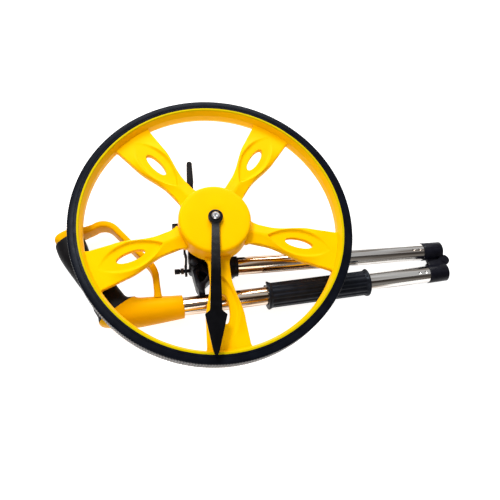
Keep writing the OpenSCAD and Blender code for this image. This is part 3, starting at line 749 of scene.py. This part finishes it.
def rubber_rows():
    """Sections through the rubber, from its seam on the elbow to the hood."""
    rows = [
        (376.1, -18.0, 418.0, 6.8, HANDLE_HALF, 2.5),
        (380.0, -17.9, 418.3, 3.6, HANDLE_HALF, 2.55),
        (383.6, -18.2, 418.5, 0.5, HANDLE_HALF, 2.6),
        (386.6, -19.9, 420.0, -3.6, HANDLE_HALF, 2.6),
        (389.0, -23.2, 422.3, -8.6, HANDLE_HALF, 2.6),
    ]
    for s, p_in, p_out, half_h in [
        (14, -17.6, 15.9, 16.5), (25, -16.9, 15.7, 16.4), (38, -15.6, 15.8, 16.2), (52, -14.4, 16.0, 16.0),
        (66, -15.0, 16.2, 15.8), (77, -17.6, 16.0, 15.6), (85, -18.6, 14.9, 15.4), (91.8, -15.8, 13.2, 15.2),
    ]:
        rows.append((*on_grip(s, p_in), *on_grip(s, p_out), half_h, 2.6))
    return rows


def rubber():
    start = [section((378.5, -17.0), (415.5, 5.0), 15.0, 2.4)]
    end = [section(on_grip(92.8, -15.2), on_grip(92.8, 12.6), 14.6, 2.6),
           section(on_grip(93.2, -14.2), on_grip(93.2, 11.6), 13.6, 2.6)]
    return skinned(rubber_rows(), 5, start, end)


def guard():
    """The yellow hood over the grip's end and the band that runs from it round the fingers to the socket."""
    # (along the grip, across it, thickness, half height)
    hood = [(94.6, 7.6, 8.0, 13.5), (95.3, 5, 10.6, 14.4), (95.7, 0, 11.2, 14.6),
            (94.9, -8, 11.2, 14.0), (93.1, -15.5, 10.4, 12.4), (90.4, -23.5, 8.6, 10.8)]
    path = [(*on_grip(s, p), thick, half_h) for s, p, thick, half_h in hood]
    arch = arc(ARCH_MID, ARCH_R, -58, -143.5, 7)
    bend = arc(BEND_MID, BEND_R, -149, -180, 4)
    straight = [arch[-1] + (bend[0] - arch[-1]) * share for share in (0.12, 0.3, 0.5, 0.7, 0.88)]
    path += [(*point, *GUARD_BAND) for point in (*arch, *straight, *bend)]
    path += [(351.6, -28, *GUARD_BAND), (351.7, -19, 7.9, 10.2), (352, -12, 9.5, 10.8)]
    rows = spline(path, 4)
    rings = []
    for i, (u, w, thick, half_h) in enumerate(rows):
        ahead, behind = rows[min(i + 1, len(rows) - 1)], rows[max(i - 1, 0)]
        run = (ahead - behind)[:2] / np.linalg.norm((ahead - behind)[:2])
        side = np.array([-run[1], run[0]])
        corner = min(3.0, thick * 0.36)
        ring = rounded([(x * thick / 2, y * half_h, corner) for x, y in ((-1, -1), (1, -1), (1, 1), (-1, 1))])
        flat = np.array([u, w]) + np.outer(ring[:, 0], side)
        rings.append(np.column_stack([flat, ring[:, 1]]))
    first = rings[0].mean(axis=0)
    out = np.array([*(rows[0] - rows[1])[:2], 0]) / np.linalg.norm((rows[0] - rows[1])[:2])
    nose = [first + (rings[0] - first) * scale + out * reach for scale, reach in ((0.55, 2.2), (0.85, 1.4))]
    points, faces = loft(nose + rings)
    return in_handle(points), faces


def half_cut(side):
    """Keeps one half of the handle, clear of the plane of the tubes by a hairline."""
    def cut(bm):
        plane = Vector((0, 0, (TUBE_Z + side * HAIRLINE) * MM))
        everything = bm.verts[:] + bm.edges[:] + bm.faces[:]
        made = bmesh.ops.bisect_plane(
            bm, geom=everything, plane_co=plane, plane_no=(0, 0, side), clear_inner=True)
        rims = [e for e in made["geom_cut"] if isinstance(e, bmesh.types.BMEdge)]
        bmesh.ops.holes_fill(bm, edges=rims)
        bmesh.ops.recalc_face_normals(bm, faces=bm.faces)
    return cut


def build_handle():
    yellow = joined([shoe(), guard()])
    for side, word in ((1, "front"), (-1, "back")):
        piece(f"handle_{word}_half", yellow, "handle", LOOKS["yellow_plastic"],
              [f"handle_{word}_shell"], edit=half_cut(side))
    piece("grip_cover", rubber(), "handle", LOOKS["grip_rubber"], ["grip_rubber"])


# ---------- Lock sleeve ----------

SLEEVE_MID = 166.5
SLEEVE_HALF = 61.9
SLEEVE_R = 15
SLEEVE_BORE = 11.3
SLEEVE_SLOT = 6.5
FLUTES = 14
FLUTE_DEPTH = 0.8
OUTER_POINTS = 197
BORE_POINTS = 60


def build_sleeve():
    """A fluted rubber sleeve with a lip at each end, open towards the hinge pin along a slot."""
    open_half = math.asin(SLEEVE_SLOT / SLEEVE_R)
    angles = np.linspace(-np.pi / 2 + open_half, 1.5 * np.pi - open_half, OUTER_POINTS)
    inner_open = math.asin(SLEEVE_SLOT / SLEEVE_BORE)
    inner_angles = np.linspace(1.5 * np.pi - inner_open, -np.pi / 2 + inner_open, BORE_POINTS)
    end = -SLEEVE_HALF
    # (place along the sleeve, radius, share of the flutes' depth)
    stations = [(end, 15.7, 0), (end + 0.2, 16.2, 0), (end + 0.8, 16.5, 0), (end + 2, 16.45, 0),
                (end + 3.2, 15.9, 0.1), (end + 5, 15.2, 0.6), (end + 7.4, SLEEVE_R, 1.0),
                (end / 2, SLEEVE_R, 1.0), (0, SLEEVE_R, 1.0)]
    stations += [(-x, r, f) for x, r, f in reversed(stations[:-1])]
    rings = []
    for x, r, flute in spline(stations, 3):
        groove = FLUTE_DEPTH * np.clip(flute, 0, 1) * (0.5 - 0.5 * np.cos(FLUTES * angles)) ** 2
        radius = r - groove
        outer = np.column_stack([radius * np.cos(angles), radius * np.sin(angles)])
        inner = np.column_stack([SLEEVE_BORE * np.cos(inner_angles), SLEEVE_BORE * np.sin(inner_angles)])
        ring = np.concatenate([outer, inner])
        rings.append(np.column_stack([np.full(len(ring), SLEEVE_MID + x), ring[:, 1], ring[:, 0]]))
    points, faces = loft(rings)
    piece("sleeve_grip", (in_handle(points), faces), "sleeve", LOOKS["sleeve_rubber"],
          ["lock_sleeve"])


# ---------- CAD nodes that keep their shape ----------

# Degrees: an edge sharper than the first is rounded, and one flatter than the second is shaded smooth
ROUND_ANGLE = 32
SMOOTH_ANGLE = 38


def soft_edges(obj, width):
    """Rounds a CAD node's edges and shades it smooth, without touching its mesh."""
    weld = obj.modifiers.new("weld", "WELD")
    weld.merge_threshold = WELD * MM
    bevel = obj.modifiers.new("edges", "BEVEL")
    bevel.width = width * MM
    bevel.segments = 2
    bevel.limit_method = "ANGLE"
    bevel.angle_limit = math.radians(ROUND_ANGLE)
    bevel.harden_normals = False
    shade = obj.modifiers.new("shade", "NODES")
    shade.node_group = smooth_group()


def smooth_group():
    """Smooth shading up to an angle, as a node group that all CAD nodes share."""
    name = "smooth_by_angle"
    if name in bpy.data.node_groups:
        return bpy.data.node_groups[name]
    group = bpy.data.node_groups.new(name, "GeometryNodeTree")
    group.interface.new_socket("Geometry", in_out="INPUT", socket_type="NodeSocketGeometry")
    group.interface.new_socket("Geometry", in_out="OUTPUT", socket_type="NodeSocketGeometry")
    entry, leave = group.nodes.new("NodeGroupInput"), group.nodes.new("NodeGroupOutput")
    angle = group.nodes.new("GeometryNodeInputMeshEdgeAngle")
    flat_enough = group.nodes.new("FunctionNodeCompare")
    flat_enough.operation = "LESS_EQUAL"
    flat_enough.inputs["B"].default_value = math.radians(SMOOTH_ANGLE)
    faces, edges = (group.nodes.new("GeometryNodeSetShadeSmooth") for _ in range(2))
    faces.domain, edges.domain = "FACE", "EDGE"
    faces.inputs["Shade Smooth"].default_value = True
    custom = group.nodes.new("GeometryNodeRemoveAttribute")
    custom.inputs["Name"].default_value = "custom_normal"
    link = group.links.new
    link(entry.outputs[0], custom.inputs["Geometry"])
    link(custom.outputs["Geometry"], faces.inputs["Geometry"])
    link(faces.outputs["Geometry"], edges.inputs["Geometry"])
    link(angle.outputs["Unsigned Angle"], flat_enough.inputs["A"])
    link(flat_enough.outputs["Result"], edges.inputs["Shade Smooth"])
    link(edges.outputs["Geometry"], leave.inputs[0])
    return group


DRUM_PLACES = ("decimetre", "metre", "ten_metre", "hundred_metre", "thousand_metre")
# Node: (look, width of its rounded edges)
KEPT = {
    "front_bush": ("bronze", 0.15), "rear_bush": ("bronze", 0.15),
    "drive_gear": ("white_plastic", 0.1), "counter_pinion": ("white_plastic", 0.1),
    "gear_screws": ("steel", 0.1), "pointer_screw": ("steel", 0.15), "pointer_washer": ("steel", 0.15),
    "bracket": ("black_plastic", 0.45), "bracket_cover": ("black_plastic", 0.4),
    "cover_screws": ("steel", 0.1), "axle": ("steel", 0.15), "axle_spacer": ("steel", 0.15),
    "wheel_tube": ("chrome", 0.15), "handle_tube": ("chrome", 0.15),
    "tube_collar": ("black_plastic", 0.4), "socket_screw": ("steel", 0.15),
    "wheel_hinge_block": ("black_plastic", 0.4), "handle_hinge_block": ("black_plastic", 0.4),
    "hinge_pin": ("black_plastic", 0.15),
    "counter_case": ("black_plastic", 0.4), "counter_cover": ("black_plastic", 0.4),
    "counter_window": ("clear_plastic", 0.25), "counter_screws": ("steel", 0.1), "drum_shaft": ("steel", 0.1),
    **{f"{place}_drum": ("white_plastic", 0.1) for place in DRUM_PLACES},
    "reset_lever": ("black_plastic", 0.4), "reset_bolt": ("black_plastic", 0.25),
    # The stand leg wears a shaded copy of black plastic, with painted shade
    "reset_spring": ("dark_steel", 0), "stand_leg": ("shaded_black_plastic", 0.4),
    "stand_tip": ("grip_rubber", 0.3), "stand_pin": ("black_plastic", 0.3),
    "handle_screws": ("steel", 0.15),
}


def dress_kept_nodes():
    """Gives each kept node its look. A dark look is a darker variant of another look."""
    for name, (look, edge) in KEPT.items():
        obj = frame["nodes"][name]
        obj.data.materials.clear()
        obj.data.materials.append(LOOKS[look])
        if edge:
            soft_edges(obj, edge)


# ---------- Stage ----------


CAMERA_PLACE = (-72.85, -248.47, 628.13)
CAMERA_TURN = {"X": 21.354, "Y": -8.004, "Z": -7.5}
SENSOR = 36
LENS = 40.08
FLOOR_DROP = 0.2
FLOOR_HALF_M = 6.0


def build_floor():
    """A pale, faintly glowing floor just under the object."""
    mesh = bpy.data.meshes.new("floor")
    corners = [(x * FLOOR_HALF_M, y * FLOOR_HALF_M, 0) for x, y in ((-1, -1), (1, -1), (1, 1), (-1, 1))]
    mesh.from_pydata(corners, [], [(0, 1, 2, 3)])
    floor = bpy.data.objects.new("floor", mesh)
    floor.location.z = -FLOOR_DROP * MM
    bpy.context.scene.collection.objects.link(floor)
    look = Look("floor", Roughness=0.8, Specular_IOR_Level=0.1, Emission_Strength=0.9)
    look.shader.inputs["Emission Color"].default_value = (1, 1, 1, 1)
    look.colour(look.ramp(look.noise(300), [(0.3, (0.48, 0.48, 0.48)), (0.7, (0.5, 0.5, 0.5))]))
    floor.data.materials.append(look.material)


def area_light(name, place, target, size, power):
    """A rectangular light that faces its target."""
    light = bpy.data.lights.new(name, "AREA")
    light.shape = "RECTANGLE"
    light.size, light.size_y = size
    light.energy = power
    obj = bpy.data.objects.new(name, light)
    obj.location = place
    obj.rotation_euler = (Vector(target) - Vector(place)).to_track_quat("-Z", "Y").to_euler()
    bpy.context.scene.collection.objects.link(obj)


def build_world():
    """A studio for the chrome to mirror: bright overhead and towards +Y, dim and brownish towards -Y."""
    world = bpy.data.worlds.new("studio")
    bpy.context.scene.world = world
    world.use_nodes = True
    tree = world.node_tree
    background = tree.nodes["Background"]
    coords = tree.nodes.new("ShaderNodeTexCoord")
    split = tree.nodes.new("ShaderNodeSeparateXYZ")
    across = tree.nodes.new("ShaderNodeMapRange")
    across.inputs["From Min"].default_value = -1
    ramp = tree.nodes.new("ShaderNodeValToRGB")
    # 0 is the -Y side, 0.5 overhead and 1 the +Y side
    stops = [(0.0, (0.16, 0.15, 0.14)), (0.05, (0.30, 0.28, 0.26)), (0.20, (0.25, 0.23, 0.21)),
             (0.29, (0.08, 0.07, 0.06)), (0.42, (0.09, 0.08, 0.08)), (0.49, (0.80, 0.80, 0.80)),
             (0.57, (0.55, 0.55, 0.55)), (0.70, (0.55, 0.55, 0.56)), (0.80, (0.75, 0.75, 0.75)),
             (0.92, (0.55, 0.55, 0.55)), (1.0, (0.25, 0.24, 0.24))]
    spread(ramp.color_ramp.elements, stops)
    tree.links.new(coords.outputs["Generated"], split.inputs["Vector"])
    tree.links.new(split.outputs["Y"], across.inputs["Value"])
    tree.links.new(across.outputs["Result"], ramp.inputs["Fac"])
    tree.links.new(ramp.outputs["Color"], background.inputs["Color"])
    background.inputs["Strength"].default_value = 0.85


def build_camera():
    """The photo's camera."""
    camera = bpy.data.cameras.new("camera")
    camera.sensor_width = SENSOR
    camera.lens = LENS
    obj = bpy.data.objects.new("camera", camera)
    about_x, about_y, about_z = [Matrix.Rotation(math.radians(a), 4, axis) for axis, a in CAMERA_TURN.items()]
    obj.matrix_world = Matrix.Translation(Vector(CAMERA_PLACE) * MM) @ (about_z @ about_y @ about_x)
    bpy.context.scene.collection.objects.link(obj)
    bpy.context.scene.camera = obj


build_camera()
build_world()
build_floor()
area_light("key", (0.0, 1.5, 1.15), (0, 0, 0), (1.4, 0.6), 34)
area_light("fill", (-0.5, -1.3, 1.2), (0, 0, 0), (1.2, 0.8), 9)
area_light("sheen", (-0.36, 0.45, 1.2), (-0.155, 0, 0), (0.25, 0.25), 8.0)
bpy.context.scene.view_settings.view_transform = "Standard"

build_wheel()
build_tyre()
build_pointer()
build_handle()
build_sleeve()
dress_kept_nodes()
